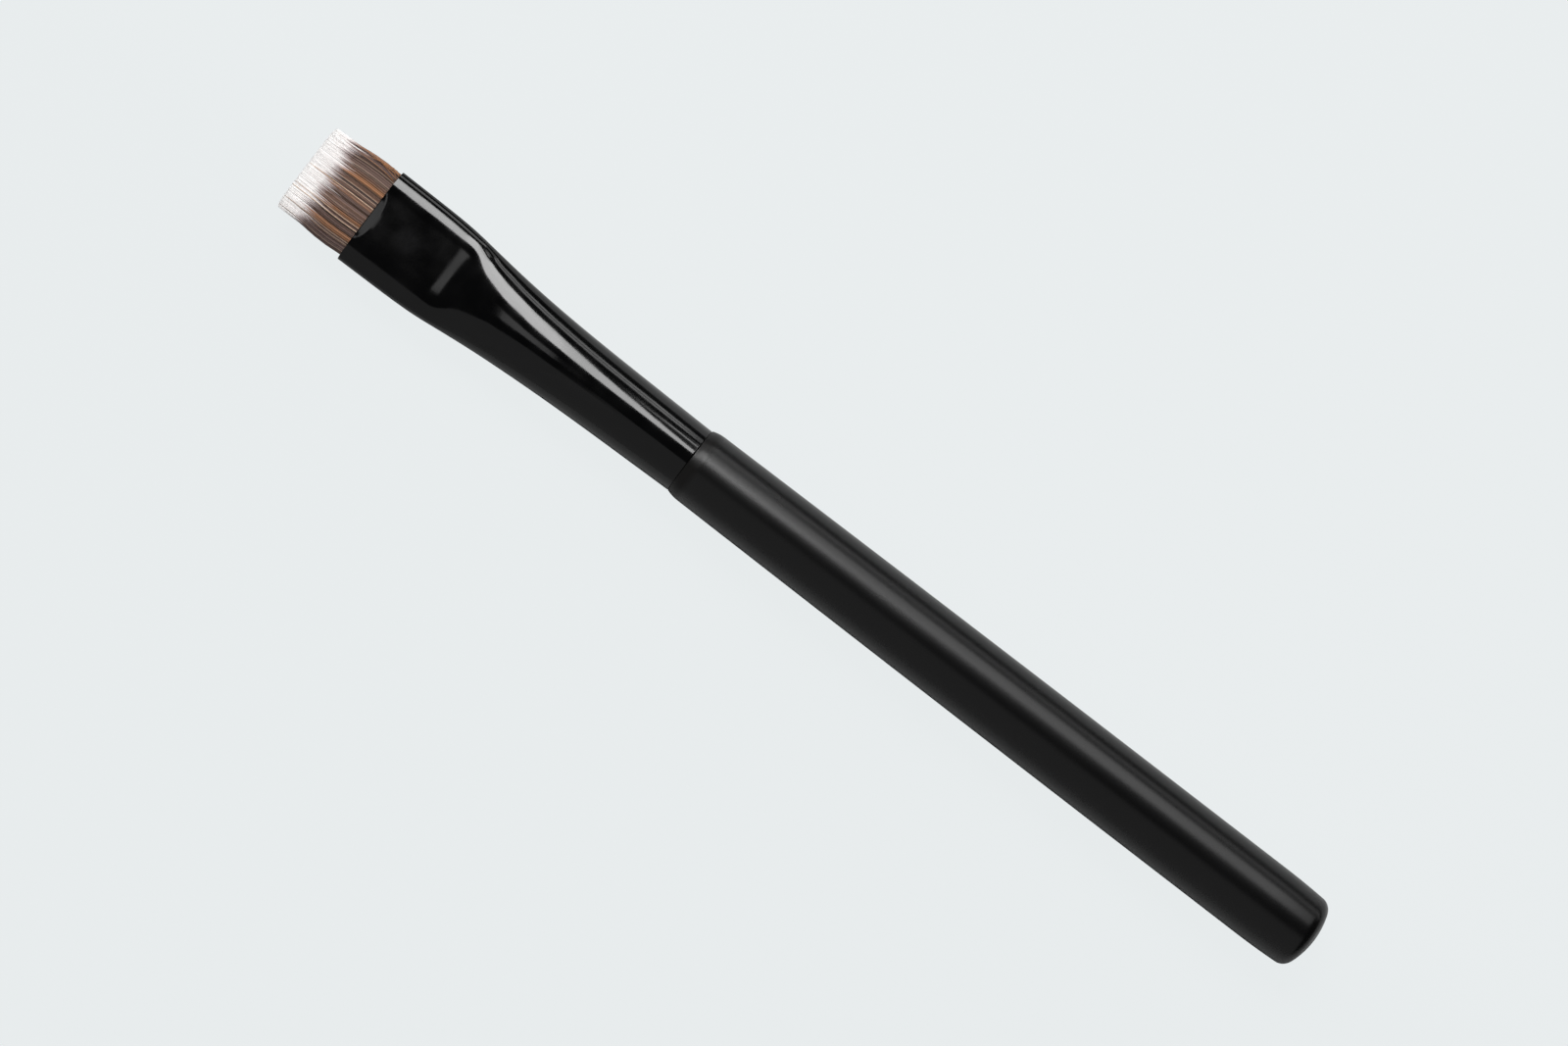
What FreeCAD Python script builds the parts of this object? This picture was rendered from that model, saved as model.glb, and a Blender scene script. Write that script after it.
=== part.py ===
import FreeCAD, Part
import math
import os

# Flat eyeliner brush: a lacquered wooden handle, a seamless metal ferrule that is pressed flat at
# its mouth, and a flat tuft of soft filaments whose roots are set in a block of resin.
# Millimetres, +Z up. The brush lies on the floor on its handle, along X, with the tuft towards -X
# and the broad faces of its head up and down. The origin is on the floor, under the middle of the
# overall length.

Vector = FreeCAD.Vector
AXIS = Vector(1, 0, 0)

# Ferrule, measured from its mouth
ferrule_length = 41.1
tube_diameter = 7.4
wall = 0.3
mouth_width = 11.0
mouth_thickness = 2.3
crease_distance = 9.0
crease_width = 10.72
crease_thickness = 2.58
nip_length = 0.9
nip_depth = 0.075

# Slope of the ferrule's outline where it meets the handle, a rise for each millimetre
tube_draft = 0.013

# Handles of the two curves from the crease to the tube, as shares of the way between them
plan_lead_in = 0.088
plan_lead_out = 0.89
side_lead_in = 0.125
side_lead_out = 0.98

# Fullness of the ferrule's section: 2 is an ellipse, and more is squarer
mouth_fullness = 2.2
crease_fullness = 2.8
tube_fullness = 2.0
crease_blend_length = 1.5
fullness_fade_length = 6.0

# Handle, measured from the seam with the ferrule
handle_length = 80.2
seam_step = 0.06
shoulder_length = 1.4
shoulder_rise = 0.24
tail_radius = 4.2
tail_length = 14.0
tail_end_distance = 6.7
end_draw_radius = 60.0
dome_radius = 8.8
rim_radius = 0.9
tenon_length = 10.0
tenon_chamfer = 0.5
tenon_clearance = 0.05

# Tuft, measured from the ferrule's mouth
tuft_reach = 8.3
tuft_root = 8.0
tuft_clearance = 0.05
tip_width = 10.1
tip_thickness = 0.9
tip_fullness = 3.0
belly_reach = 4.5
belly_thickness = 1.45
lock_pitch = 0.4
lock_scatter = 0.22
groove_depth = 0.072
groove_scatter = 0.25
front_scatter = 0.075
notch_depth = 0.3
notch_scatter = 0.3
notch_shift = 0.048
corner_drop = 0.2
corner_sharpness = 6

# Resin that binds the roots of the filaments
resin_length = 3.0

# Places along X, and the height of the brush's axis over the floor
tip_x = -(tuft_reach + ferrule_length + handle_length) / 2
mouth_x = tip_x + tuft_reach
seam_x = mouth_x + ferrule_length
axis_z = tail_radius

# How finely the ferrule is drawn: points round a section, and strips in each stretch of its length
section_points = 24
flat_strips = 7
bend_length = 9.0
bend_strips = 9
tube_strips = 6


def pressed_half(distance, mouth_half, crease_half, lead_in, lead_out):
    """Half size of the ferrule at a distance from its mouth.

    It runs straight from the mouth to the crease, then on a cubic curve into the round tube.
    """
    flat_draft = (crease_half - mouth_half) / crease_distance
    if distance <= crease_distance:
        return mouth_half + flat_draft * distance
    tube_half = tube_diameter / 2
    run = ferrule_length - crease_distance
    end_draft = math.copysign(tube_draft, tube_half - crease_half)
    first = Vector(crease_distance, 0, crease_half)
    last = Vector(ferrule_length, 0, tube_half)
    flare = Part.BezierCurve()
    flare.setPoles([
        first,
        first + Vector(1, 0, flat_draft) * (lead_in * run),
        last - Vector(1, 0, end_draft) * (lead_out * run),
        last,
    ])
    before = 0.0
    after = 1.0
    for _ in range(40):
        middle = (before + after) / 2
        if flare.value(middle).x < distance:
            before = middle
        else:
            after = middle
    return flare.value(after).z


def half_width(distance):
    """Half width of the ferrule, seen from above."""
    return pressed_half(distance, mouth_width / 2, crease_width / 2, plan_lead_in, plan_lead_out)


def half_thickness(distance):
    """Half thickness of the ferrule, seen from the side, with its lip nipped in on the tuft."""
    nip = nip_depth * max(1 - distance / nip_length, 0)
    half = pressed_half(
        distance, mouth_thickness / 2, crease_thickness / 2, side_lead_in, side_lead_out)
    return half - nip


def fullness(distance):
    """Fullness of the ferrule's section, which peaks just past the crease."""
    peak = crease_distance + crease_blend_length
    if distance <= peak:
        return mouth_fullness + (crease_fullness - mouth_fullness) * (distance / peak) ** 4
    fade = min((distance - peak) / fullness_fade_length, 1)
    ease = (1 - fade) ** 2 * (1 + 2 * fade)
    return tube_fullness + (crease_fullness - tube_fullness) * ease


def oval_section(distance, inset):
    """Closed section of the ferrule at a distance from its mouth, drawn in by an inset.

    It is made of an upper and a lower half.
    """
    width = half_width(distance) - inset
    thickness = half_thickness(distance) - inset
    power = fullness(distance)
    points = []
    for k in range(section_points):
        turn = 2 * math.pi * k / section_points
        across = math.cos(turn)
        up = math.sin(turn)
        reach = (abs(across) ** power + abs(up) ** power) ** (-1 / power)
        points.append(Vector(distance, width * across * reach, thickness * up * reach))
    curve = Part.BSplineCurve()
    curve.interpolate(Points=points, PeriodicFlag=True,
                      Parameters=[k / section_points for k in range(section_points + 1)])
    return Part.Wire([curve.toShape(0, 0.5), curve.toShape(0.5, 1)])


def steps(start, end, count):
    """Even steps from start up to, but not including, end."""
    return [start + (end - start) * k / count for k in range(count)]


def ferrule_form(inset):
    """Solid form of the ferrule's outside, or of its bore where the inset is the wall."""
    bend_end = crease_distance + min(bend_length, (ferrule_length - crease_distance) / 2)
    distances = (
        [0]
        + steps(nip_length, crease_distance, flat_strips)
        + steps(crease_distance, bend_end, bend_strips)
        + steps(bend_end, ferrule_length, tube_strips)
        + [ferrule_length]
    )
    return Part.makeLoft([oval_section(distance, inset) for distance in distances], True, True)


def make_ferrule():
    """Seamless tube, round at the handle and pressed flat from the crease to the mouth."""
    return ferrule_form(0).cut(ferrule_form(wall))


def make_root_resin():
    """Block of resin that fills the bore behind the tuft's roots."""
    reach = mouth_width + tube_diameter
    slab = Part.makeBox(resin_length, reach, reach, Vector(tuft_root, -reach / 2, -reach / 2))
    return ferrule_form(wall).common(slab)


def line(start, end):
    """Straight edge."""
    return Part.LineSegment(start, end).toShape()


def tangent_arc(start, heading, end):
    """Arc from start to end that leaves along heading, a vector of length 1."""
    chord = end - start
    chord_way = Vector(chord).normalize()
    middle_way = (heading + chord_way).normalize()
    middle = start + middle_way * (chord.Length / (2 * middle_way.dot(chord_way)))
    return Part.Arc(start, middle, end).toShape()


def arrival(start, heading, end):
    """Heading at the end of the arc from start to end that leaves along heading."""
    chord_way = (end - start).normalize()
    return chord_way * (2 * chord_way.dot(heading)) - heading


def circle_crossing(centre_a, radius_a, centre_b, radius_b):
    """The upper of the two points where two circles of the side view cross."""
    between = centre_b - centre_a
    gap = between.Length
    along = (gap ** 2 + radius_a ** 2 - radius_b ** 2) / (2 * gap)
    across = math.sqrt(radius_a ** 2 - along ** 2)
    way = Vector(between).normalize()
    upward = Vector(-way.z, 0, way.x)
    if upward.z < 0:
        upward = upward * -1
    return centre_a + way * along + upward * across


def make_handle():
    """Turned handle in one piece: round tenon, rounded shoulder, faint swell and domed end."""
    tenon_radius = half_thickness(ferrule_length - tenon_length) - wall - tenon_clearance
    seam_radius = tube_diameter / 2 + seam_step
    tail_end_x = handle_length - tail_end_distance

    tenon_tip = Vector(-tenon_length, 0, 0)
    tip_edge = Vector(-tenon_length, 0, tenon_radius - tenon_chamfer)
    chamfer_edge = Vector(tenon_chamfer - tenon_length, 0, tenon_radius)
    tenon_root = Vector(0, 0, tenon_radius)
    seam_edge = Vector(0, 0, seam_radius)
    shoulder = Vector(shoulder_length, 0, seam_radius + shoulder_rise)
    tail_start = Vector(tail_end_x - tail_length, 0, tail_radius)
    tail_end = Vector(tail_end_x, 0, tail_radius)
    crown = Vector(handle_length, 0, 0)

    # The rim's arc touches the arc that draws the tail in and the arc of the dome
    draw_centre = tail_end - Vector(0, 0, end_draw_radius)
    dome_centre = crown - AXIS * dome_radius
    rim_centre = circle_crossing(
        draw_centre, end_draw_radius - rim_radius, dome_centre, dome_radius - rim_radius)
    out_of_draw = (rim_centre - draw_centre).normalize()
    out_of_dome = (rim_centre - dome_centre).normalize()
    rim_start = rim_centre + out_of_draw * rim_radius
    rim_end = rim_centre + out_of_dome * rim_radius

    profile = Part.Wire([
        line(tenon_tip, tip_edge),
        line(tip_edge, chamfer_edge),
        line(chamfer_edge, tenon_root),
        line(tenon_root, seam_edge),
        tangent_arc(shoulder, arrival(tail_start, -AXIS, shoulder), seam_edge),
        tangent_arc(tail_start, -AXIS, shoulder),
        line(tail_start, tail_end),
        tangent_arc(tail_end, AXIS, rim_start),
        tangent_arc(rim_start, Vector(out_of_draw.z, 0, -out_of_draw.x), rim_end),
        tangent_arc(crown, Vector(0, 0, 1), rim_end),
        line(crown, tenon_tip),
    ])
    return Part.Face(profile).revolve(Vector(), AXIS, 360)


def uneven(k):
    """A steady but irregular value from -1 to 1 for place k along the tuft's locks."""
    return math.sin(12.9898 * k + 4.1414 * math.sin(2.7183 * k))


def lock_lines(half, count):
    """Places across the tuft of its sides and of the lines between its locks."""
    pitch = 2 * half / count
    inner = [-half + pitch * (k + lock_scatter * uneven(k)) for k in range(1, count)]
    return [-half] + inner + [half]


def lock_section(distance, half, thickness, power, count):
    """Closed section of the tuft, with one ridge for each lock on both broad faces."""
    lines = lock_lines(half, count)
    ridges = []
    for k in range(count):
        ridges.append(((lines[k] + lines[k + 1]) / 2, 0.0))
        if k < count - 1:
            groove = groove_depth * (1 + groove_scatter * uneven(k + 0.5))
            ridges.append((lines[k + 1], groove))
    top = []
    bottom = []
    for y, groove in ridges:
        crown = thickness * (1 - abs(y / half) ** power) ** (1 / power)
        z = crown - min(groove, crown / 2)
        top.append(Vector(distance, y, z))
        bottom.append(Vector(distance, y, -z))
    left = Vector(distance, -half, 0)
    right = Vector(distance, half, 0)
    return Part.makePolygon([left] + top + [right] + bottom[::-1] + [left])


def ragged_prism(count):
    """Prism in plan that gives each lock of the tuft its own length at the front."""
    lines = lock_lines(tip_width / 2, count)
    side = mouth_width
    depth = mouth_thickness + belly_thickness
    back_x = tuft_root + tuft_clearance
    valley_x = notch_depth - tuft_reach
    corners = [Vector(back_x, -side, -depth), Vector(valley_x, -side, -depth)]
    for k in range(count):
        middle = (lines[k] + lines[k + 1]) / 2
        front_x = corner_drop * abs(2 * middle / tip_width) ** corner_sharpness - tuft_reach
        short = front_scatter * (1 + uneven(k + 0.25))
        corners.append(Vector(front_x + short, middle, -depth))
        if k < count - 1:
            notch = notch_depth * (1 - notch_scatter * (1 - uneven(k + 0.75)))
            shift = notch_shift * (1 + uneven(k + 0.6) / 2)
            corners.append(Vector(front_x + notch, lines[k + 1] + shift, -depth))
    corners += [Vector(valley_x, side, -depth), Vector(back_x, side, -depth), corners[0]]
    return Part.Face(Part.makePolygon(corners)).extrude(Vector(0, 0, 2 * depth))


def make_tuft():
    """Flat tuft: ridged locks that fill the ferrule's mouth and thin out to a ragged front."""
    count = round(tip_width / lock_pitch)
    gap = wall + tuft_clearance
    share = belly_reach / tuft_reach
    mouth_half = half_width(0) - gap
    belly_half = mouth_half + (tip_width / 2 - mouth_half) * share
    belly_fullness = mouth_fullness + (tip_fullness - mouth_fullness) * share
    form = Part.makeLoft([
        lock_section(tuft_root, half_width(tuft_root) - gap, half_thickness(tuft_root) - gap,
                     fullness(tuft_root), count),
        lock_section(0, mouth_half, half_thickness(0) - gap, mouth_fullness, count),
        lock_section(-belly_reach, belly_half, belly_thickness / 2, belly_fullness, count),
        lock_section(-tuft_reach, tip_width / 2, tip_thickness / 2, tip_fullness, count),
    ], True, True)
    return form.common(ragged_prism(count))


def in_place(shape, x):
    """The shape, moved from its own measuring point on the axis to the place x along the brush."""
    return shape.translated(Vector(x, 0, axis_z))


parts = {
    "handle": in_place(make_handle(), seam_x),
    "ferrule": in_place(make_ferrule(), mouth_x),
    "root_resin": in_place(make_root_resin(), mouth_x),
    "bristle_tuft": in_place(make_tuft(), mouth_x),
}

os.makedirs("parts", exist_ok=True)
for name, shape in parts.items():
    shape.exportStep("parts/" + name + ".step")
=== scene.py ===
import bpy
import math
import numpy as np
from mathutils import Matrix, Vector


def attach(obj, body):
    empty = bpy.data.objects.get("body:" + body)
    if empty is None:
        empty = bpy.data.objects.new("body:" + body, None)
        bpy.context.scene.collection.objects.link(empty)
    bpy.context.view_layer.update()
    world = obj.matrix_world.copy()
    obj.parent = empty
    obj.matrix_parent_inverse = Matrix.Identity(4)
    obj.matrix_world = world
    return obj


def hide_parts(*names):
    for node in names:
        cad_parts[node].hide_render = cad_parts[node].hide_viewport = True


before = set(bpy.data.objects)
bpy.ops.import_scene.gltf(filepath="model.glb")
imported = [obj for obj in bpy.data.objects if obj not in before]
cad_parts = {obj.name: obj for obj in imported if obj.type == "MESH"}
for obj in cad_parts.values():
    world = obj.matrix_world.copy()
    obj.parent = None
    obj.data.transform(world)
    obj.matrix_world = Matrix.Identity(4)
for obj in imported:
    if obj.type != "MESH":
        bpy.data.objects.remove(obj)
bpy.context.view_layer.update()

MM = 0.001

# Places along X and height of the brush's axis, in mm
MOUTH_X = -56.5
SEAM_X = -15.4
AXIS_Z = 4.2

# Ferrule, in mm
FERRULE_LENGTH = 41.1
TUBE_DIAMETER = 7.4
WALL = 0.3
MOUTH_THICKNESS = 2.548
CREASE_DISTANCE = 9.19
CREASE_THICKNESS = 2.584
LEAD_IN = 0.155
LEAD_OUT = 0.981
TUBE_DRAFT = 0.013
MOUTH_LIP = 0.06
SEAM_LIP = 0.11
HEAD_ROLL = math.radians(-1.3)

# The mouth's lip, nipped in on the tuft: how deep, how long, and half its width and its middle across
NIP_DEPTH = 0.050
NIP_LENGTH = 0.93
NIP_HALF_WIDTH = 2.65
NIP_MIDDLE = -0.06

# Half widths of the ferrule by distance from the mouth, and how far its middle drifts to the side
HALF_WIDTHS = [
    (0, 5.535), (3.5, 5.507), (7.1, 5.458), (8.3, 5.418), (9.3, 5.361), (10.5, 5.258), (12.3, 5.056),
    (14.1, 4.858), (16.5, 4.620), (19.3, 4.402), (22.9, 4.193), (26.5, 4.047), (30.1, 3.945), (34.9, 3.848),
    (41.1, 3.73),
]
SIDE_DRIFT = [(0, -0.120), (12, -0.119), (22, -0.117), (28, -0.083), (34, -0.055), (41.1, -0.030)]

# Small waves of the half thickness along the ferrule, which bend its long reflections
THICKNESS_WAVES = [
    (-20, 0), (8, 0), (10.5, 0.027), (13, 0.003), (16, -0.021), (20, -0.027), (25, -0.018), (31, -0.018),
    (38, 0), (60, 0),
]

# How boxy the section is, by distance from the mouth. A power of 2 both across and up is an ellipse.
POWERS_ACROSS = [
    (0, 4.7), (8, 4.88), (9.5, 5.23), (10.5, 5.05), (11.5, 3.7), (12.5, 2.97), (14, 2.66), (16, 2.26),
    (18, 2.15), (20, 2.04), (22.5, 2), (25, 2),
]
POWERS_UP = [
    (0, 1.69), (8, 1.8), (9.5, 1.86), (10.5, 2.13), (11.5, 2.32), (12.5, 1.96), (14, 1.75), (16, 1.81),
    (18, 1.88), (20, 1.93), (22.5, 2), (25, 2),
]

# Resin block, in mm behind the mouth
BLOCK_FROM = 8.0
BLOCK_TO = 11.0
BLOCK_GAP = 0.01

# Handle, in mm
HANDLE_LENGTH = 80.2
SEAM_STEP = 0.06
SHOULDER_LENGTH = 1.4
SHOULDER_RISE = 0.26
TAIL_RADIUS = 4.2
TAIL_LENGTH = 14.0
TAIL_END = 6.7
END_DRAW_RADIUS = 80.0
DOME_RADIUS = 8.8
RIM_RADIUS = 1.4
FACE_ROUND = 0.09
TENON_LENGTH = 10.0
TENON_BEVEL = 0.5
GLUE_GAP = 0.05

# Tuft, in mm: its half width swells a little, then tapers, and it leans to one side
TUFT_REACH = 8.3
TUFT_HALF_WIDTH = 5.1
TUFT_SWELL = 0.16
TUFT_TAPER = 0.15
TUFT_OFFSET = -0.02
TUFT_LEAN = -0.12
TUFT_HALF_Z = 0.68
TUFT_THINNING = 0.37

# Filaments: their number in a mesh, the locks and the finer bundles they form, and where they bend
FILAMENTS = 1500
LOCKS = 25
BUNDLES = 96
STATIONS = np.array([-1.2, 0.0, 1.9, 3.4, 4.4, 5.0, 5.6, 6.2, 6.8, 7.7, 8.3]) / TUFT_REACH
LATE_RADIUS = 0.040
STRAY_RADIUS = 0.027

# How far a filament sways and lifts at its tip, its radii, and the share by which a lock draws it in
SWAY = 0.035
LIFT = 0.012
RADII = (0.030, 0.046)
LOCK_DRAW = 0.09

# Share of the reach at which the brown turns white, and the share that the fade takes
TURN_AT = 0.564
FADE = 0.17

# Stripes across the tuft, as place, width and strength: warmer, darker, and brown for longer
WARM_STRIPES = [
    (0.43, 0.085, 1.0), (-0.32, 0.05, 0.9), (-0.67, 0.08, 0.85), (0.06, 0.03, 0.5), (0.99, 0.03, 0.7),
]
DARK_STRIPES = [(-0.93, 0.13, 0.55), (0.82, 0.13, 0.45), (0.25, 0.08, 0.25), (-0.5, 0.06, 0.25)]
LONG_STRIPES = [(0.11, 0.035, 0.12), (0.95, 0.28, 0.068), (-0.85, 0.3, 0.02)]

# Points round the ferrule and the handle, the resin block, the tuft's heart and a filament
AROUND = 176
BLOCK_AROUND = 96
HEART_AROUND = 120
SIDES = 5

# Colours of the tuft
UMBER = np.array((0.072, 0.047, 0.043))
TAUPE = np.array((0.172, 0.112, 0.093))
COPPER = np.array((0.310, 0.142, 0.062))
STRAY = np.array((0.42, 0.19, 0.075))
SAND = np.array((0.450, 0.320, 0.230))
WHITE = np.array((0.985, 0.950, 0.935))
# Painted light: whiter than the tips' own white, it brightens the very ends of the tips and the heart's
# front, standing in for light scattered through the fibres
TIP = np.array((1.0, 0.985, 0.975))
ROSE = np.array((0.46, 0.355, 0.355))


# Helpers

def new_mesh(name, points, faces):
    """Smooth mesh object from points in mm and faces."""
    mesh = bpy.data.meshes.new(name)
    mesh.from_pydata([tuple(p) for p in np.asarray(points) * MM], [], faces)
    mesh.update()
    mesh.polygons.foreach_set("use_smooth", [True] * len(mesh.polygons))
    obj = bpy.data.objects.new(name, mesh)
    bpy.context.scene.collection.objects.link(obj)
    return obj


def circle(around):
    """Angles of the points of a ring."""
    return 2 * math.pi * np.arange(around) / around


def ring_faces(rings, around, closed_ends=False):
    """Quads between consecutive rings of points, which run round counterclockwise seen from +X."""
    faces = []
    for r in range(rings - 1):
        for k in range(around):
            a = r * around + k
            b = r * around + (k + 1) % around
            faces.append((a, b, b + around, a + around))
    if closed_ends:
        faces.append(tuple(range(around))[::-1])
        faces.append(tuple(range((rings - 1) * around, rings * around)))
    return faces


def bezier(p0, p1, p2, p3, t):
    """Point of a cubic curve."""
    s = 1 - t
    return s ** 3 * p0 + 3 * s * s * t * p1 + 3 * s * t * t * p2 + t ** 3 * p3


def spline(x, knots):
    """Smooth curve through rows of place and value, level beyond them."""
    k, v = np.array(knots, float).T
    gaps = np.diff(k)
    slopes = np.diff(v) / gaps
    system, right = np.eye(len(k)), np.zeros(len(k))
    for i in range(1, len(k) - 1):
        system[i, i - 1:i + 2] = gaps[i - 1], 2 * (gaps[i - 1] + gaps[i]), gaps[i]
        right[i] = 6 * (slopes[i] - slopes[i - 1])
    bend = np.linalg.solve(system, right)
    x = np.clip(x, k[0], k[-1])
    i = np.clip(np.searchsorted(k, x) - 1, 0, len(k) - 2)
    a, b, gap = k[i + 1] - x, x - k[i], gaps[i]
    return ((bend[i] * a ** 3 + bend[i + 1] * b ** 3) / (6 * gap) + (v[i] / gap - bend[i] * gap / 6) * a
            + (v[i + 1] / gap - bend[i + 1] * gap / 6) * b)


# Ferrule

def half_width(distance):
    return spline(distance, HALF_WIDTHS)


def half_thickness(distance):
    """Straight from the mouth to the crease, then on a long curve into the round tube."""
    mouth_half, crease_half, tube_half = MOUTH_THICKNESS / 2, CREASE_THICKNESS / 2, TUBE_DIAMETER / 2
    draft = (CREASE_THICKNESS - MOUTH_THICKNESS) / 2 / CREASE_DISTANCE
    run = FERRULE_LENGTH - CREASE_DISTANCE
    into, out_of = LEAD_IN * run, LEAD_OUT * run
    t = np.linspace(0, 1, 2001)
    x = bezier(CREASE_DISTANCE, CREASE_DISTANCE + into, FERRULE_LENGTH - out_of, FERRULE_LENGTH, t)
    z = bezier(crease_half, crease_half + into * draft, tube_half - out_of * TUBE_DRAFT, tube_half, t)
    half = np.where(distance <= CREASE_DISTANCE, mouth_half + draft * distance, np.interp(distance, x, z))
    return half + spline(distance, THICKNESS_WAVES)


def section_reach(across, up, wide, tall):
    """Distance to the outline |y|^wide + |z|^tall = 1 along each direction."""
    low, high = np.full(across.shape, 0.9), np.full(across.shape, 1.5)
    for _ in range(36):
        middle = (low + high) / 2
        inside = np.abs(middle * across) ** wide + np.abs(middle * up) ** tall < 1
        low, high = np.where(inside, middle, low), np.where(inside, high, middle)
    return low


def roll_head(y, z):
    """The head sits turned a little about the brush's axis."""
    c, s = math.cos(HEAD_ROLL), math.sin(HEAD_ROLL)
    return y * c + z * s, z * c - y * s


def oval_rings(distance, inset, around):
    """Rings of the ferrule's section at each distance, drawn in by an inset."""
    distance = np.asarray(distance, float)[:, None]
    inset = np.asarray(inset, float).reshape(-1, 1)
    turn = circle(around)
    across, up = np.broadcast_arrays(np.cos(turn)[None], np.sin(turn)[None] + 0 * distance)
    reach = section_reach(across, up, spline(distance, POWERS_ACROSS), spline(distance, POWERS_UP))
    y = (half_width(distance) - inset) * across * reach
    z = (half_thickness(distance) - inset) * up * reach
    nip = NIP_LENGTH * np.sqrt(np.clip(1 - ((y - NIP_MIDDLE) / NIP_HALF_WIDTH) ** 2, 0.0001, 1))
    z = z - np.sign(z) * NIP_DEPTH * np.clip(1 - distance / nip, 0, 1)
    y, z = roll_head(y, z)
    x = np.broadcast_to(distance, y.shape)
    return np.stack([MOUTH_X + x, y + spline(distance, SIDE_DRIFT), AXIS_Z + z], axis=-1)


def lip_inset(distance):
    """How far the rounded rims draw in at each distance."""
    front = MOUTH_LIP - np.clip(distance, 0, MOUTH_LIP)
    back = SEAM_LIP - np.clip(FERRULE_LENGTH - distance, 0, SEAM_LIP)
    at_mouth = MOUTH_LIP - np.sqrt(MOUTH_LIP ** 2 - front ** 2)
    at_seam = SEAM_LIP - np.sqrt(SEAM_LIP ** 2 - back ** 2)
    return at_mouth + at_seam


def ferrule_shell():
    """Outer face with its two rounded rims, inner face, and the rim that joins them at the mouth."""
    quarter = 1 - np.sin(np.linspace(0, math.pi / 2, 6))
    nip_end = 0.9
    crease_from, crease_to = CREASE_DISTANCE - 0.5, CREASE_DISTANCE + 9
    before_lip = FERRULE_LENGTH - SEAM_LIP - 0.03
    outer = np.concatenate([
        MOUTH_LIP * quarter[::-1],
        np.linspace(MOUTH_LIP, nip_end, 20)[1:],
        np.linspace(nip_end, crease_from, 20)[1:],
        np.linspace(crease_from, crease_to, 80)[1:],
        np.linspace(crease_to, before_lip, 56)[1:],
        FERRULE_LENGTH - SEAM_LIP * quarter,
    ])
    inner = np.linspace(FERRULE_LENGTH, 0, 36)
    rings = np.concatenate([
        oval_rings(outer, lip_inset(outer), AROUND),
        oval_rings(inner, np.full(len(inner), WALL), AROUND),
    ])
    faces = ring_faces(len(rings), AROUND)
    last = (len(rings) - 1) * AROUND
    faces += [(last + k, last + (k + 1) % AROUND, (k + 1) % AROUND, k) for k in range(AROUND)]
    return new_mesh("ferrule_shell", rings.reshape(-1, 3), faces)


ferrule = ferrule_shell()
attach(ferrule, "root")
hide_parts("ferrule")


# Resin

def root_block():
    """The glue between the filaments' roots, just inside the ferrule's wall."""
    at = np.linspace(BLOCK_FROM, BLOCK_TO, 9)
    rings = oval_rings(at, np.full(len(at), WALL + BLOCK_GAP), BLOCK_AROUND)
    return new_mesh("root_block", rings.reshape(-1, 3), ring_faces(len(at), BLOCK_AROUND, True))


block = root_block()
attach(block, "root")
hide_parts("root_resin")


# Handle

def arc_from(start, heading, end, count):
    """Points of the arc from start to end that leaves along heading, without its first point."""
    start, heading, end = map(np.asarray, (start, heading, end))
    chord = end - start
    normal = np.array([-heading[1], heading[0]])
    radius = chord.dot(chord) / (2 * chord.dot(normal))
    centre = start + normal * radius
    spoke = start - centre
    sweep = 2 * math.atan2(chord.dot(normal), chord.dot(heading))
    turns = sweep * np.arange(1, count + 1) / count
    c, s = np.cos(turns), np.sin(turns)
    return centre + np.stack([c * spoke[0] - s * spoke[1], s * spoke[0] + c * spoke[1]], axis=-1)


def end_heading(start, heading, end):
    """Heading at the end of that arc."""
    chord = np.asarray(end) - np.asarray(start)
    chord = chord / np.linalg.norm(chord)
    return 2 * chord.dot(heading) * chord - np.asarray(heading)


def rim_arc(draw_centre, dome_centre):
    """Start, heading and end of the small arc that joins the drawn-in end to its dome."""
    between = dome_centre - draw_centre
    gap = np.linalg.norm(between)
    to_draw = END_DRAW_RADIUS - RIM_RADIUS
    to_dome = DOME_RADIUS - RIM_RADIUS
    along = (gap ** 2 + to_draw ** 2 - to_dome ** 2) / (2 * gap)
    way = between / gap
    side = np.array([way[1], -way[0]])
    centre = draw_centre + way * along + side * math.sqrt(to_draw ** 2 - along ** 2)
    out_draw = (centre - draw_centre) / np.linalg.norm(centre - draw_centre)
    out_dome = (centre - dome_centre) / np.linalg.norm(centre - dome_centre)
    return centre + out_draw * RIM_RADIUS, (out_draw[1], -out_draw[0]), centre + out_dome * RIM_RADIUS


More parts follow.
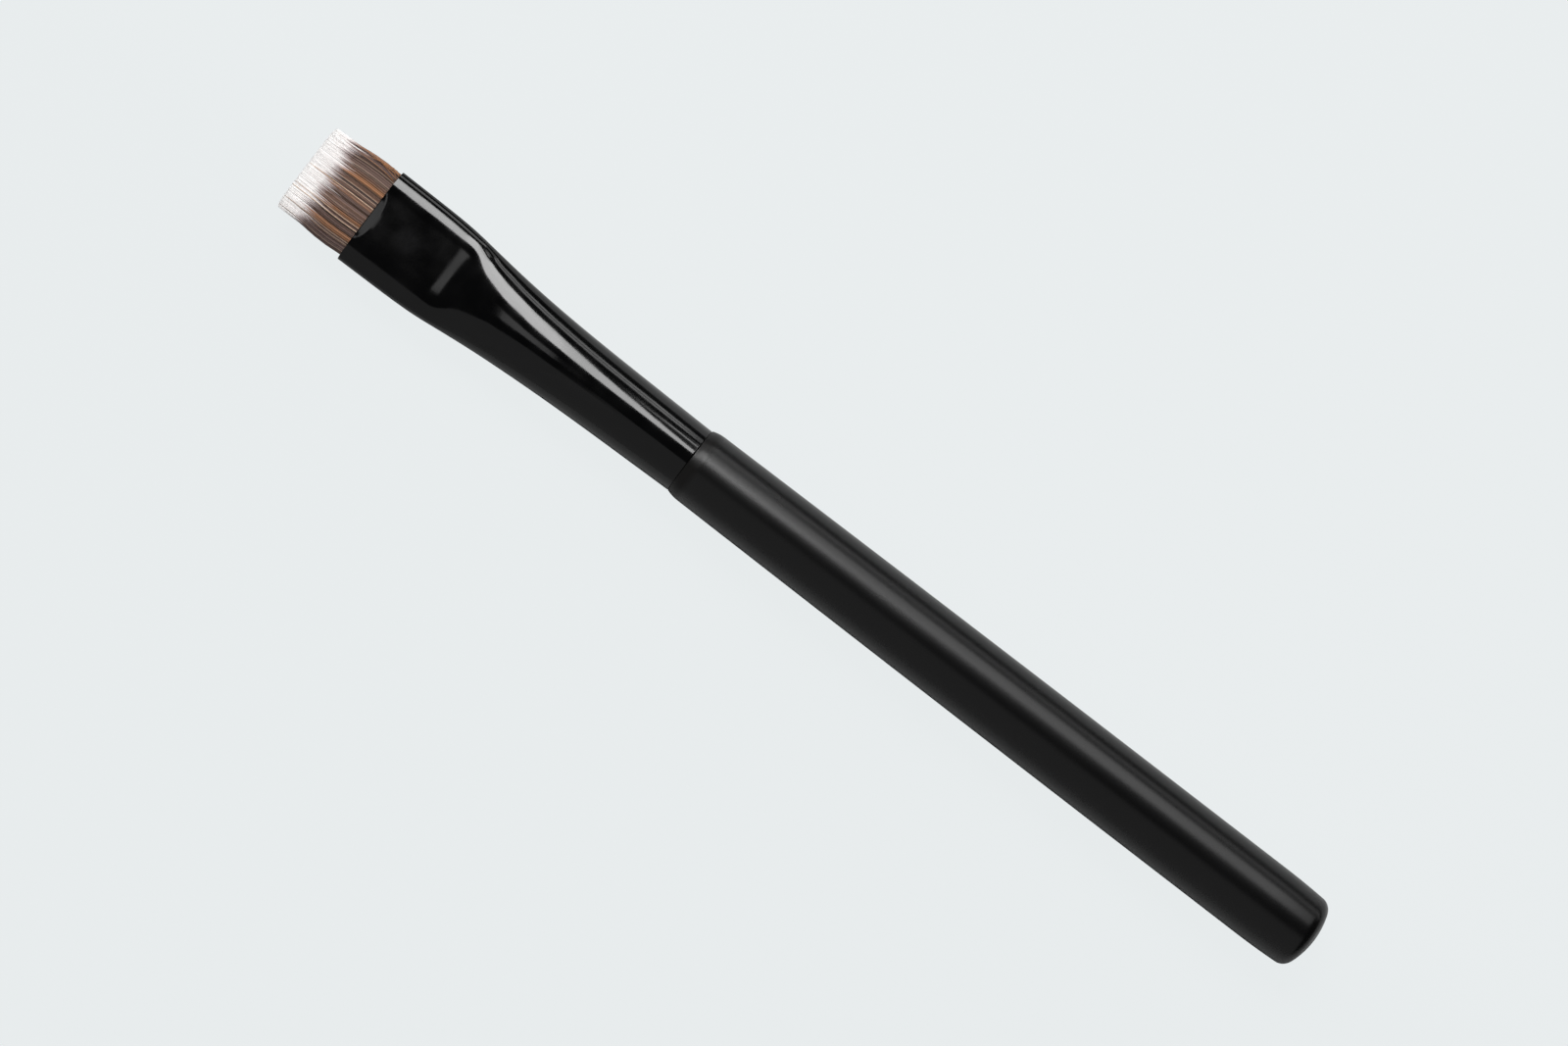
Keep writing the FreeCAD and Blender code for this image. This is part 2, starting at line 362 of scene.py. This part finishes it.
def handle_profile():
    """Outline of the handle from its tenon's tip to its butt, as (x, radius) from the seam."""
    seam_radius = TUBE_DIAMETER / 2 + SEAM_STEP
    tenon_radius = float(half_thickness(np.array(FERRULE_LENGTH - TENON_LENGTH))) - WALL - GLUE_GAP
    tail_end = np.array([HANDLE_LENGTH - TAIL_END, TAIL_RADIUS])
    tail_start = tail_end - np.array([TAIL_LENGTH, 0])
    shoulder = np.array([SHOULDER_LENGTH, seam_radius + SHOULDER_RISE])
    seam = np.array([0.0, seam_radius])
    crown = np.array([HANDLE_LENGTH, 0.0])
    rim_start, rim_heading, rim_end = rim_arc(tail_end - np.array([0, END_DRAW_RADIUS]),
                                              crown - np.array([DOME_RADIUS, 0]))

    barrel = arc_from(tail_start, (-1, 0), shoulder, 60)[::-1]
    at_shoulder = end_heading(tail_start, (-1.0, 0.0), shoulder)
    rounding = arc_from(shoulder, at_shoulder, seam, 40)[::-1]
    rounding = rounding[rounding[:, 0] > FACE_ROUND]
    turns = np.linspace(0, math.pi / 2, 7)
    edge_x = FACE_ROUND * (1 - np.cos(turns))
    edge_radius = rounding[0, 1] - FACE_ROUND * (1 - np.sin(turns))
    edge = np.stack([edge_x, edge_radius], axis=-1)
    tenon = [
        (-TENON_LENGTH, 0),
        (-TENON_LENGTH, tenon_radius - TENON_BEVEL),
        (TENON_BEVEL - TENON_LENGTH, tenon_radius),
        (0, tenon_radius),
    ]
    profile = np.concatenate([
        tenon,
        edge[:-1],
        rounding,
        barrel,
        [tail_start],
        np.linspace(tail_start, tail_end, 8)[1:],
        arc_from(tail_end, (1, 0), rim_start, 14),
        arc_from(rim_start, rim_heading, rim_end, 14),
        arc_from(crown, (0, 1), rim_end, 18)[::-1][1:],
        [crown],
    ])
    steps = np.linalg.norm(np.diff(profile, axis=0), axis=1)
    return profile[np.append(True, steps > 0.0001)]


def handle_body():
    """The profile turned about the axis, closed at both ends by one point."""
    body = handle_profile()[1:-1]
    turn = circle(AROUND)
    rings = np.stack([
        SEAM_X + np.repeat(body[:, :1], AROUND, axis=1),
        body[:, 1:] * np.cos(turn)[None],
        AXIS_Z + body[:, 1:] * np.sin(turn)[None],
    ], axis=-1).reshape(-1, 3)
    ends = [[SEAM_X - TENON_LENGTH, 0, AXIS_Z], [SEAM_X + HANDLE_LENGTH, 0, AXIS_Z]]
    front, back = len(rings), len(rings) + 1
    last = (len(body) - 1) * AROUND
    faces = ring_faces(len(body), AROUND)
    faces += [((k + 1) % AROUND, k, front) for k in range(AROUND)]
    faces += [(last + k, last + (k + 1) % AROUND, back) for k in range(AROUND)]
    obj = new_mesh("handle_body", np.concatenate([rings, ends]), faces)
    obj.data.set_sharp_from_angle(angle=math.radians(40))
    return obj


handle = handle_body()
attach(handle, "root")
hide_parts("handle")


# Tuft

rng = np.random.default_rng(11)
bundle_tone = np.exp(rng.normal(0, 0.26, BUNDLES))
bundle_turn = rng.normal(0, 0.022, BUNDLES)

# Filaments that stay brown to the tip: share across, share up, and how pale
LATE = [
    (-0.995, 0.2, 0.0), (-0.985, 0.35, 0.1), (-0.94, 0.62, 0.3), (-0.74, 0.87, 0.6), (-0.45, 0.99, 1.6),
    (-0.37, 0.99, 1.2), (0.11, 1.0, 1.8),
]

# Strays: three points that steer each one, as pairs of distance from the mouth and place across
STRAYS = [
    (0.0, 4.55, 1.3, 5.20, 3.4, 4.78), (0.1, 5.02, 1.5, 4.60, 3.0, 5.18), (0.5, 5.16, 2.2, 5.02, 4.2, 4.50),
    (0.0, 4.35, 1.6, 4.86, 3.9, 5.10), (0.9, 5.20, 2.5, 4.72, 4.4, 4.92), (0.2, 4.10, 2.0, 4.52, 4.9, 4.30),
    (0.0, 4.80, 0.9, 5.24, 2.6, 5.05),
]


def tuft_y(v, out):
    """Place across the tuft, from its share of the half width and of the reach."""
    half = TUFT_HALF_WIDTH + TUFT_SWELL * np.sin(math.pi * np.clip(out / 0.62, 0, 1)) - TUFT_TAPER * out
    return v * half + TUFT_OFFSET + TUFT_LEAN * out


def tuft_half_z(out):
    return TUFT_HALF_Z - TUFT_THINNING * np.clip((out - 0.35) / 0.65, 0, 1)


def lock_place(v):
    """Place across the tuft, counted in locks of uneven width."""
    return (v + 1) / 2 * LOCKS + 0.4 * np.sin(9 * v) + 0.3 * np.sin(23 * v + 1)


def bundle_of(v):
    """Number of the finer bundle at a place across the tuft."""
    place = (v + 1) / 2 * BUNDLES + 0.9 * np.sin(19 * v) + 0.6 * np.sin(43 * v + 2)
    return np.clip(np.floor(place), 0, BUNDLES - 1).astype(int)


def blend(a, b, share):
    return a * (1 - share) + b * share


def near(v, place, width):
    """One at a place across the tuft, falling off over a width."""
    return np.exp(-((v - place) / width) ** 2)


def stripes(v, rows):
    """Sum of stripes across the tuft."""
    return sum(strength * near(v, place, width) for place, width, strength in rows)


def tube_mesh(name, y, z, x, radius):
    """One mesh of thin tubes along rows of stations, thinning as the radius says."""
    count, rings = y.shape
    turn = circle(SIDES)
    ring_y = y[:, :, None] + radius[:, :, None] * np.cos(turn)
    ring_z = z[:, :, None] + radius[:, :, None] * np.sin(turn)
    ring_x = np.broadcast_to(x[:, :, None], ring_y.shape)
    ring_y, ring_z = roll_head(ring_y, ring_z)
    points = np.stack([MOUTH_X - ring_x, ring_y, AXIS_Z + ring_z], axis=-1).reshape(-1, 3)
    per = rings * SIDES
    one = [(a, a + SIDES, b + SIDES, b) for r in range(rings - 1)
           for a, b in ((r * SIDES + k, r * SIDES + (k + 1) % SIDES) for k in range(SIDES))]
    faces = []
    for base in range(0, count * per, per):
        faces += [tuple(i + base for i in quad) for quad in one]
        faces.append(tuple(base + k for k in range(SIDES)))
        faces.append(tuple(base + per - 1 - k for k in range(SIDES)))
    return new_mesh(name, points, faces)


def keep_tint(obj, tint, around):
    """Store a colour for each ring of points."""
    rgba = np.ones(tint.shape[:-1] + (around, 4))
    rgba[..., :3] = tint[..., None, :]
    layer = obj.data.color_attributes.new("tint", "FLOAT_COLOR", "POINT")
    layer.data.foreach_set("color", rgba.reshape(-1).astype(np.float32))


def at_the_tip(s):
    """Nought along a filament, rising to one near its tip, where the tip is painted brighter."""
    return np.clip((s - 0.88) / 0.08, 0, 1)


def root_colour(v):
    """Brown of each filament: warmer and darker stripes, a few pale hairs, and painted shade between the
    locks.
    """
    warm = stripes(v, WARM_STRIPES) + rng.normal(0.05, 0.16, FILAMENTS)
    dark = stripes(v, DARK_STRIPES) + rng.normal(0.22, 0.26, FILAMENTS)
    is_pale = rng.uniform(0, 1, FILAMENTS) < 0.055 + 0.10 * near(v, 0.06, 0.04)
    pale = is_pale * rng.uniform(0.35, 0.9, FILAMENTS)
    brown = blend(TAUPE, COPPER, np.clip(warm, 0, 1)[:, None])
    brown = blend(brown, UMBER, np.clip(dark, 0, 1)[:, None])
    brown = blend(brown, SAND, pale[:, None])
    # Painted shade: filaments grow darker towards the edges of their lock, where shade falls between the
    # locks
    from_middle = np.abs(lock_place(v) % 1 - 0.5) * 2
    return brown * bundle_tone[bundle_of(v)][:, None] * (1.20 - 0.64 * from_middle ** 5)[:, None]


def turning_point(v, lock):
    """Share of the reach at which each filament turns white."""
    early = (rng.uniform(0, 1, FILAMENTS) < 0.22) * rng.uniform(0, 0.16, FILAMENTS)
    by_lock = 0.012 * np.sin(2.4 * lock) + 0.008 * np.sin(5.1 * lock + 1)
    by_place = stripes(v, LONG_STRIPES) + bundle_turn[bundle_of(v)]
    turn_at = TURN_AT + by_lock + by_place - early + rng.normal(0, 0.03, FILAMENTS)
    return np.where(rng.uniform(0, 1, FILAMENTS) < 0.002, 1.2, turn_at)


def filament_tint(v, lock, s, with_late):
    """Colour along each filament: brown from the root, a rosy fade, and a white tip with painted light at its
    very end.
    """
    brown = root_colour(v)
    turn_at = turning_point(v, lock)
    if with_late:
        for k, (_, _, pallor) in enumerate(LATE):
            turn_at[k] = 1.3
            brown[k] = blend(UMBER * 1.2, SAND, pallor)
    fade = np.clip((s - turn_at[:, None]) / FADE, 0, 1)
    fade = fade * fade * (3 - 2 * fade)
    tint = blend(brown[:, None], WHITE, fade[:, :, None])
    tint = blend(tint, ROSE, (4 * fade * (1 - fade))[:, :, None] * 0.6)
    return blend(tint, TIP, (fade * at_the_tip(s))[:, :, None])


def filaments(name, with_late):
    """One mesh of many tapered filaments, with the tint of each point kept as a colour."""
    v = rng.uniform(-1, 1, FILAMENTS)
    w = rng.uniform(-1, 1, FILAMENTS) * np.maximum((1 - np.abs(v) ** 3) ** (1 / 3), 0.12)
    short = rng.uniform(0, 1, FILAMENTS)
    sway = rng.normal(0, SWAY, FILAMENTS)
    lift = rng.normal(0, LIFT, FILAMENTS)
    thick = rng.uniform(*RADII, FILAMENTS)
    draw = np.full(FILAMENTS, LOCK_DRAW)
    if with_late:
        late = len(LATE)
        v[:late] = [row[0] for row in LATE]
        w[:late] = [row[1] for row in LATE]
        sway[:late] *= 0.3
        thick[:late] = LATE_RADIUS
        draw[:late] = 0

    lock = np.clip(np.floor(lock_place(v)), 0, LOCKS - 1)
    centre = (lock + 0.5) / LOCKS * 2 - 1
    length = 1 - 0.020 * short ** 2 - 0.004 * np.sin(1.7 * lock) ** 2 - 0.03 * np.abs(v) ** 12
    s = STATIONS[None] * length[:, None]
    out = np.clip(s, 0, 1)
    clump = draw[:, None] * np.clip((out - 0.1) / 0.45, 0, 1) * (1 - np.clip((out - 0.6) / 0.2, 0, 1))
    y = tuft_y(v[:, None] * (1 - clump) + centre[:, None] * clump, out) + sway[:, None] * out ** 2
    z = w[:, None] * tuft_half_z(out) + lift[:, None] * out ** 2
    radius = thick[:, None] * np.clip((1.06 - out / length[:, None]) / 0.12, 0.5, 1)
    obj = tube_mesh(name, y, z, s * TUFT_REACH, radius)
    keep_tint(obj, filament_tint(v, lock, s, with_late), SIDES)
    return obj


def underhair():
    """Soft closed heart of the tuft, which the outer filaments lie on, its brown painted darker as shade
    within the tuft.
    """
    stations = np.concatenate([np.linspace(-1.0, 7.9, 36), np.linspace(7.95, 8.25, 8)])
    turn = circle(HEART_AROUND)
    across, up = np.cos(turn), np.sin(turn)
    reach = (np.abs(across) ** 3 + np.abs(up) ** 3) ** (-1 / 3)
    rings = []
    for d in stations:
        out = min(max(d / TUFT_REACH, 0), 1)
        under_surface = 0.17 - 0.145 * min(max((out - 0.55) / 0.2, 0), 1)
        front_round = math.sqrt(max(1 - (max(d - 8.0, 0) / 0.4) ** 2, 0.05))
        ripple = 1 + 0.05 * np.sin(across * reach * 60) * min(max(1.6 - 1.6 * out, 0), 1)
        half_z = (float(tuft_half_z(np.array(out))) - under_surface) * front_round
        y, z = roll_head(tuft_y(across * reach * 0.975, out), half_z * up * reach * ripple)
        x = d - 0.10 * np.abs(across * reach) ** 8 * out
        rings.append(np.stack([MOUTH_X - x, y, AXIS_Z + z], axis=-1))
    obj = new_mesh("underhair", np.concatenate(rings[::-1]), ring_faces(len(stations), HEART_AROUND, True))
    s = stations[::-1, None] / TUFT_REACH
    # Painted shade: the heart's brown is darker than the filaments', as shade deep in the tuft; its front
    # takes the painted light of the tips
    heart_in_painted_shade = blend(UMBER * 0.8, WHITE, np.clip((s - 0.60) / 0.14, 0, 1))
    keep_tint(obj, blend(heart_in_painted_shade, TIP, at_the_tip(s)), HEART_AROUND)
    return obj


def strays():
    """A few copper filaments that lie across the tuft's edge near the mouth."""
    count = 12
    t = np.linspace(0, 1, count)[None]
    x0, y0, x1, y1, x2, y2 = np.array(STRAYS).T[:, :, None]
    x = x0 * (1 - t) ** 2 + 2 * x1 * t * (1 - t) + x2 * t * t
    y = y0 * (1 - t) ** 2 + 2 * y1 * t * (1 - t) + y2 * t * t
    z = 0.56 + 0.22 * np.sin(math.pi * t) - 0.5 * np.clip(y - 4.9, 0, 1)
    radius = STRAY_RADIUS * np.clip(1.1 - t ** 4, 0.2, 1) * np.ones_like(x)
    obj = tube_mesh("stray_filaments", y, z, x, radius)
    keep_tint(obj, np.ones((len(STRAYS), count, 3)) * STRAY, SIDES)
    return obj


strands = [filaments("filaments_" + part, part == "a") for part in "abc"]
strands.append(underhair())
strands.append(strays())
for obj in strands:
    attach(obj, "root")
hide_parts("bristle_tuft")


# Materials

def material(name):
    """New node material, its nodes, its links and its main shader."""
    mat = bpy.data.materials.new(name)
    mat.use_nodes = True
    nodes = mat.node_tree.nodes
    return mat, nodes, mat.node_tree.links, nodes["Principled BSDF"]


def dress(obj, mat):
    obj.data.materials.clear()
    obj.data.materials.append(mat)


def own_place(nodes):
    """The surface's own coordinates, in metres."""
    return nodes.new("ShaderNodeTexCoord").outputs["Object"]


def coordinates(nodes, links):
    """Those coordinates, split into X, Y and Z."""
    split = nodes.new("ShaderNodeSeparateXYZ")
    links.new(own_place(nodes), split.inputs["Vector"])
    return split.outputs


def noise(nodes, links, scale, detail, stretch=(1, 1, 1)):
    """Noise in the surface's own coordinates, stretched along its axes."""
    mapping = nodes.new("ShaderNodeMapping")
    mapping.inputs["Scale"].default_value = stretch
    tex = nodes.new("ShaderNodeTexNoise")
    tex.inputs["Scale"].default_value = scale
    tex.inputs["Detail"].default_value = detail
    links.new(own_place(nodes), mapping.inputs["Vector"])
    links.new(mapping.outputs["Vector"], tex.inputs["Vector"])
    return tex.outputs["Fac"]


def remap(nodes, links, socket, low, high, to_low, to_high):
    """The value of a socket, carried over from one range to another and kept within it."""
    node = nodes.new("ShaderNodeMapRange")
    node.inputs["From Min"].default_value = low
    node.inputs["From Max"].default_value = high
    node.inputs["To Min"].default_value = to_low
    node.inputs["To Max"].default_value = to_high
    links.new(socket, node.inputs["Value"])
    return node.outputs["Result"]


def reckon(nodes, links, operation, first, second):
    """Sum or product of two values, each a socket or a number."""
    node = nodes.new("ShaderNodeMath")
    node.operation = operation
    for socket, value in zip(node.inputs, (first, second)):
        if isinstance(value, (int, float)):
            socket.default_value = value
        else:
            links.new(value, socket)
    return node.outputs["Value"]


def mix_colours(nodes, links, socket, first, second, clamp=True):
    """Mix of two colours, each a socket or three numbers. Without the clamp it runs on past the second."""
    mix = nodes.new("ShaderNodeMix")
    mix.data_type = "RGBA"
    mix.clamp_factor = clamp
    links.new(socket, mix.inputs[0])
    for place, colour in ((mix.inputs[6], first), (mix.inputs[7], second)):
        if isinstance(colour, tuple):
            place.default_value = (*colour, 1)
        else:
            links.new(colour, place)
    return mix.outputs[2]


def bump(nodes, links, socket, strength, distance, shader, before=None):
    """Bump of a height in metres, laid over an earlier one if there is one."""
    node = nodes.new("ShaderNodeBump")
    node.inputs["Strength"].default_value = strength
    node.inputs["Distance"].default_value = distance
    links.new(socket, node.inputs["Height"])
    if before is not None:
        links.new(before.outputs["Normal"], node.inputs["Normal"])
    links.new(node.outputs["Normal"], shader.inputs["Normal"])
    return node


# Colours of the hard parts
DEEP_BLACK = (0.0008, 0.0008, 0.0009)
# A paler black for the grain, the dust specks, and the painted light on the shoulder
DUST_AND_PAINTED_LIGHT_BLACK = (0.0020, 0.0019, 0.0019)
DRAWN_BLACK = (0.0016, 0.0016, 0.0017)
SMUDGE_GREY = (0.0075, 0.0075, 0.0080)
DARK_AMBER = (0.42, 0.27, 0.09)
PALE_AMBER = (0.55, 0.38, 0.16)

# Satin black lacquer of the handle, duller where it thins at the shoulder and painted paler there as painted
# light, with a few specks
lacquer, nodes, links, shader = material("satin_lacquer")
grain = noise(nodes, links, 9000, 3)
cloud = noise(nodes, links, 260, 3, (0.25, 1, 1))
along = coordinates(nodes, links)["X"]
shoulder_from, shoulder_to = (SEAM_X + 0.9) * MM, (SEAM_X + 1.6) * MM
dull = remap(nodes, links, along, (SEAM_X + 0.8) * MM, shoulder_to, 0.05, 0)
satin = remap(nodes, links, cloud, 0.35, 0.7, 0.255, 0.285)
links.new(reckon(nodes, links, "ADD", satin, dull), shader.inputs["Roughness"])
links.new(remap(nodes, links, along, shoulder_from, shoulder_to, 0.23, 0.5), shader.inputs["Specular IOR Level"])
cells = nodes.new("ShaderNodeTexVoronoi")
cells.inputs["Scale"].default_value = 380
links.new(own_place(nodes), cells.inputs["Vector"])
specks = remap(nodes, links, cells.outputs["Distance"], 0.018, 0.034, 9, 0)
# Grain tone that differs at random; not light or shade
shade = remap(nodes, links, grain, 0.3, 0.7, 0, 1)
# Painted light: the base colour is paler on the shoulder, standing in for light the shoulder reflects
thin = remap(nodes, links, along, shoulder_from, shoulder_to, 3.2, 0)
tone = reckon(nodes, links, "ADD", reckon(nodes, links, "ADD", shade, thin), specks)
links.new(mix_colours(nodes, links, tone, DEEP_BLACK, DUST_AND_PAINTED_LIGHT_BLACK, False), shader.inputs["Base Color"])
bump(nodes, links, grain, 0.12, 0.00002, shader)
dress(handle, lacquer)

# Gloss black of the ferrule, with faint marks along it
gloss, nodes, links, shader = material("gloss_black")
drawn = noise(nodes, links, 5200, 4, (0.05, 1, 1))
patch = noise(nodes, links, 420, 2)
links.new(remap(nodes, links, patch, 0.3, 0.75, 0.07, 0.13), shader.inputs["Roughness"])
black = mix_colours(nodes, links, remap(nodes, links, patch, 0.3, 0.7, 0, 1), DEEP_BLACK, DRAWN_BLACK)
peel = noise(nodes, links, 1700, 2, (0.7, 1, 1))
fine = bump(nodes, links, drawn, 1.0, 0.0000006, shader)
bump(nodes, links, peel, 1.0, 0.0000018, shader, fine)

# A faint oval smudge on the upper flat face
SMUDGE_X = (-0.0536, -0.0502)
SMUDGE_Y = (-0.0016, 0.0019)
PAST_EDGE = 1.15
place = coordinates(nodes, links)
span_x = remap(nodes, links, place["X"], *SMUDGE_X, -PAST_EDGE, PAST_EDGE)
span_y = remap(nodes, links, place["Y"], *SMUDGE_Y, -PAST_EDGE, PAST_EDGE)
upper = remap(nodes, links, place["Z"], AXIS_Z * MM, AXIS_Z * MM + 0.0002, 0, 1)
off_middle = reckon(nodes, links, "ADD", reckon(nodes, links, "MULTIPLY", span_x, span_x),
                    reckon(nodes, links, "MULTIPLY", span_y, span_y))
smear = noise(nodes, links, 4200, 3, (0.8, 0.5, 1))
blot = reckon(nodes, links, "MULTIPLY", remap(nodes, links, off_middle, 0, 1.3, 1, 0),
              remap(nodes, links, smear, 0.35, 0.65, 0.3, 1))
smudge = reckon(nodes, links, "MULTIPLY", blot, upper)
links.new(mix_colours(nodes, links, smudge, black, SMUDGE_GREY), shader.inputs["Base Color"])
dress(ferrule, gloss)

# Filaments, in the colours kept with their points
hair, nodes, links, shader = material("filament")
tint = nodes.new("ShaderNodeAttribute")
tint.attribute_name = "tint"
links.new(tint.outputs["Color"], shader.inputs["Base Color"])
shader.inputs["Roughness"].default_value = 0.5
shader.inputs["Specular IOR Level"].default_value = 0.22
for obj in strands:
    dress(obj, hair)

# Resin
resin, nodes, links, shader = material("amber_resin")
mist = noise(nodes, links, 900, 2)
amber = mix_colours(nodes, links, remap(nodes, links, mist, 0.3, 0.7, 0, 1), DARK_AMBER, PALE_AMBER)
links.new(amber, shader.inputs["Base Color"])
shader.inputs["Roughness"].default_value = 0.25
dress(block, resin)


# Floor and world

PALE = (0.824, 0.858, 0.866)
FLOOR_HALF = 3000
FLOOR_COLOUR = (0.47, 0.475, 0.475)
# Painted light lifts the floor's lit colour on the brush's +Y side; painted shade dims it far out on that
# side for all but camera rays
FLOOR_PAINTED_LIGHT = 1.36
FLOOR_PAINTED_DARK = 0.12
FLOOR_FLAT_SHARE = 0.96
DIM_WORLD = (0.028, 0.029, 0.030)


def times(colour, share):
    return tuple(share * c for c in colour)


def pale_floor():
    """Lit pale surface that shows its plain colour to the camera, and keeps some of its shading.

    Its lit colour, which reflections see, has painted light on the brush's +Y side, and painted shade for all
    but camera rays from 34 mm out on that side, full by 52 mm."""
    mat, nodes, links, _ = material("pale_floor")
    nodes.clear()
    out = nodes.new("ShaderNodeOutputMaterial")
    lit = nodes.new("ShaderNodeBsdfDiffuse")
    plain = nodes.new("ShaderNodeEmission")
    plain.inputs["Color"].default_value = (*PALE, 1)
    across = coordinates(nodes, links)["Y"]
    seen = nodes.new("ShaderNodeLightPath").outputs["Is Camera Ray"]
    painted_light_side = remap(nodes, links, across, -0.004, 0.008, 0, 1)
    colour = mix_colours(nodes, links, painted_light_side, FLOOR_COLOUR, times(FLOOR_COLOUR, FLOOR_PAINTED_LIGHT))
    painted_dark_far_off = reckon(nodes, links, "MULTIPLY", remap(nodes, links, across, 0.034, 0.052, 0, 1),
                     remap(nodes, links, seen, 0, 1, 1, 0))
    links.new(mix_colours(nodes, links, painted_dark_far_off, colour, times(FLOOR_COLOUR, FLOOR_PAINTED_DARK)), lit.inputs["Color"])
    mix = nodes.new("ShaderNodeMixShader")
    links.new(reckon(nodes, links, "MULTIPLY", seen, FLOOR_FLAT_SHARE), mix.inputs[0])
    links.new(lit.outputs[0], mix.inputs[1])
    links.new(plain.outputs[0], mix.inputs[2])
    links.new(mix.outputs[0], out.inputs["Surface"])
    return mat


corners = [(-FLOOR_HALF, -FLOOR_HALF, 0), (FLOOR_HALF, -FLOOR_HALF, 0), (FLOOR_HALF, FLOOR_HALF, 0),
           (-FLOOR_HALF, FLOOR_HALF, 0)]
floor = new_mesh("floor", corners, [(0, 1, 2, 3)])
dress(floor, pale_floor())

world = bpy.data.worlds.new("studio")
bpy.context.scene.world = world
world.use_nodes = True
nodes, links = world.node_tree.nodes, world.node_tree.links
nodes.clear()
out = nodes.new("ShaderNodeOutputWorld")
dim = nodes.new("ShaderNodeBackground")
dim.inputs["Color"].default_value = (*DIM_WORLD, 1)
pale = nodes.new("ShaderNodeBackground")
pale.inputs["Color"].default_value = (*PALE, 1)
path = nodes.new("ShaderNodeLightPath")
mix = nodes.new("ShaderNodeMixShader")
links.new(path.outputs["Is Camera Ray"], mix.inputs[0])
links.new(dim.outputs[0], mix.inputs[1])
links.new(pale.outputs[0], mix.inputs[2])
links.new(mix.outputs[0], out.inputs["Surface"])


# Lamps: long strips round the brush's axis, in metres along it and degrees from straight up towards +Y

LAMP_DISTANCE = 0.7
FAR_END = 0.75
TUBE_END = -0.044
KEY_JOIN = -0.145
KEY_LOW, KEY_SPLIT, KEY_HIGH = 20.1, 34.3, 47.2
KEY_LOW_END, KEY_HIGH_END = 23.4, 32.6
SIDE_LIGHT, SIDE_LIGHT_END = 69.3, 74.0
SIDE_JOIN = -0.1
SIDE_STEP_RADIANCES = (2.4, 2.7, 3.4)
CARD_JOIN = -0.13


def softbox(name, centre, aim, width, height, radiance):
    """Rectangular lamp that faces aim, width along X as far as it can, of a given brightness."""
    data = bpy.data.lights.new(name, "AREA")
    data.shape = "RECTANGLE"
    data.size = width
    data.size_y = height
    data.energy = radiance * math.pi * width * height
    lamp = bpy.data.objects.new(name, data)
    bpy.context.scene.collection.objects.link(lamp)
    back = (Vector(centre) - Vector(aim)).normalized()
    side = Vector((1, 0, 0))
    side = (side - back * side.dot(back)).normalized()
    up = back.cross(side)
    lamp.matrix_world = Matrix((
        (side.x, up.x, back.x, centre[0]),
        (side.y, up.y, back.y, centre[1]),
        (side.z, up.z, back.z, centre[2]),
        (0, 0, 0, 1),
    ))


def strip(name, x0, x1, low, high, radiance):
    """Lamp that faces the axis, from x0 to x1 along it and from low to high degrees round it."""
    middle, half = math.radians(low + high) / 2, math.radians(high - low) / 2
    x = (x0 + x1) / 2
    centre = (x, LAMP_DISTANCE * math.sin(middle), LAMP_DISTANCE * math.cos(middle))
    softbox(name, centre, (x, 0, 0), x1 - x0, 2 * LAMP_DISTANCE * math.tan(half), radiance)


def pair(name, x0, x1, centre, radiance):
    """Two narrow lamps side by side, with a dark line between them."""
    strip(name + "_a", x0, x1, centre - 7, centre - 1, radiance)
    strip(name + "_b", x0, x1, centre + 1, centre + 7, radiance)


def spans(x0, x1, count):
    """Equal stretches from x0 to x1, numbered."""
    edges = np.linspace(x0, x1, count + 1)
    return enumerate(zip(edges[:-1], edges[1:]))


# Key light of the ferrule, which narrows in steps towards the handle, and the thin line above it
strip("key_left", -FAR_END, KEY_JOIN, KEY_LOW, KEY_SPLIT, 11.3)
strip("upper_left", -0.42, KEY_JOIN, KEY_SPLIT, KEY_HIGH, 11.8)
for k, (x0, x1) in spans(KEY_JOIN, TUBE_END, 6):
    low = float(np.interp((x0 + x1) / 2, [-0.12, -0.055], [KEY_LOW, KEY_LOW_END]))
    high = float(np.interp((x0 + x1) / 2, [KEY_JOIN, -0.053], [KEY_HIGH, KEY_HIGH_END]))
    strip("key_step_%d" % k, x0, x1, low, high, 9.0)
strip("thin_strip_a", -0.078, -0.064, 44.3, 48.6, 2.5)
strip("thin_strip_b", -0.064, TUBE_END, 47.6, 52.2, 4.5)

# Two faint lines along the ferrule's side
pair("low_strip", -0.7, SIDE_JOIN, SIDE_LIGHT, 2.4)
for k, (x0, x1) in spans(SIDE_JOIN, TUBE_END, 3):
    turned = float(np.interp((x0 + x1) / 2, [SIDE_JOIN, -0.05], [SIDE_LIGHT, SIDE_LIGHT_END]))
    pair("low_step_%d" % k, x0, x1, turned, SIDE_STEP_RADIANCES[k])

# Lights of the handle, the card that the flat face mirrors, and the dim cards of the other side
strip("handle_panel_a", TUBE_END, 0.02, 30.5, 59.5, 1.65)
strip("handle_panel_b", 0.02, 0.235, 28.5, 59.5, 2.05)
strip("handle_low", TUBE_END, 0.7, 70.5, 83.5, 0.8)
strip("tuft_card", -0.270, -0.165, -4.7, 5.0, 1.08)
strip("left_card", -0.85, CARD_JOIN, -90, -19.4, 0.26)
strip("right_card", CARD_JOIN, FAR_END, -90, -12, 0.26)


# Camera, straight above and turned as in the photograph

CAMERA_X, CAMERA_Y, CAMERA_HEIGHT = -0.00394, 0.00080, 0.4444
TURN_COS, TURN_SIN = 0.7921, 0.6104

camera = bpy.data.objects.new("camera", bpy.data.cameras.new("camera"))
bpy.context.scene.collection.objects.link(camera)
camera.data.lens = 100
camera.data.sensor_width = 36
camera.matrix_world = Matrix((
    (TURN_COS, -TURN_SIN, 0, CAMERA_X),
    (TURN_SIN, TURN_COS, 0, CAMERA_Y),
    (0, 0, 1, CAMERA_HEIGHT + AXIS_Z * MM),
    (0, 0, 0, 1),
))
bpy.context.scene.camera = camera
bpy.context.scene.view_settings.view_transform = "Standard"
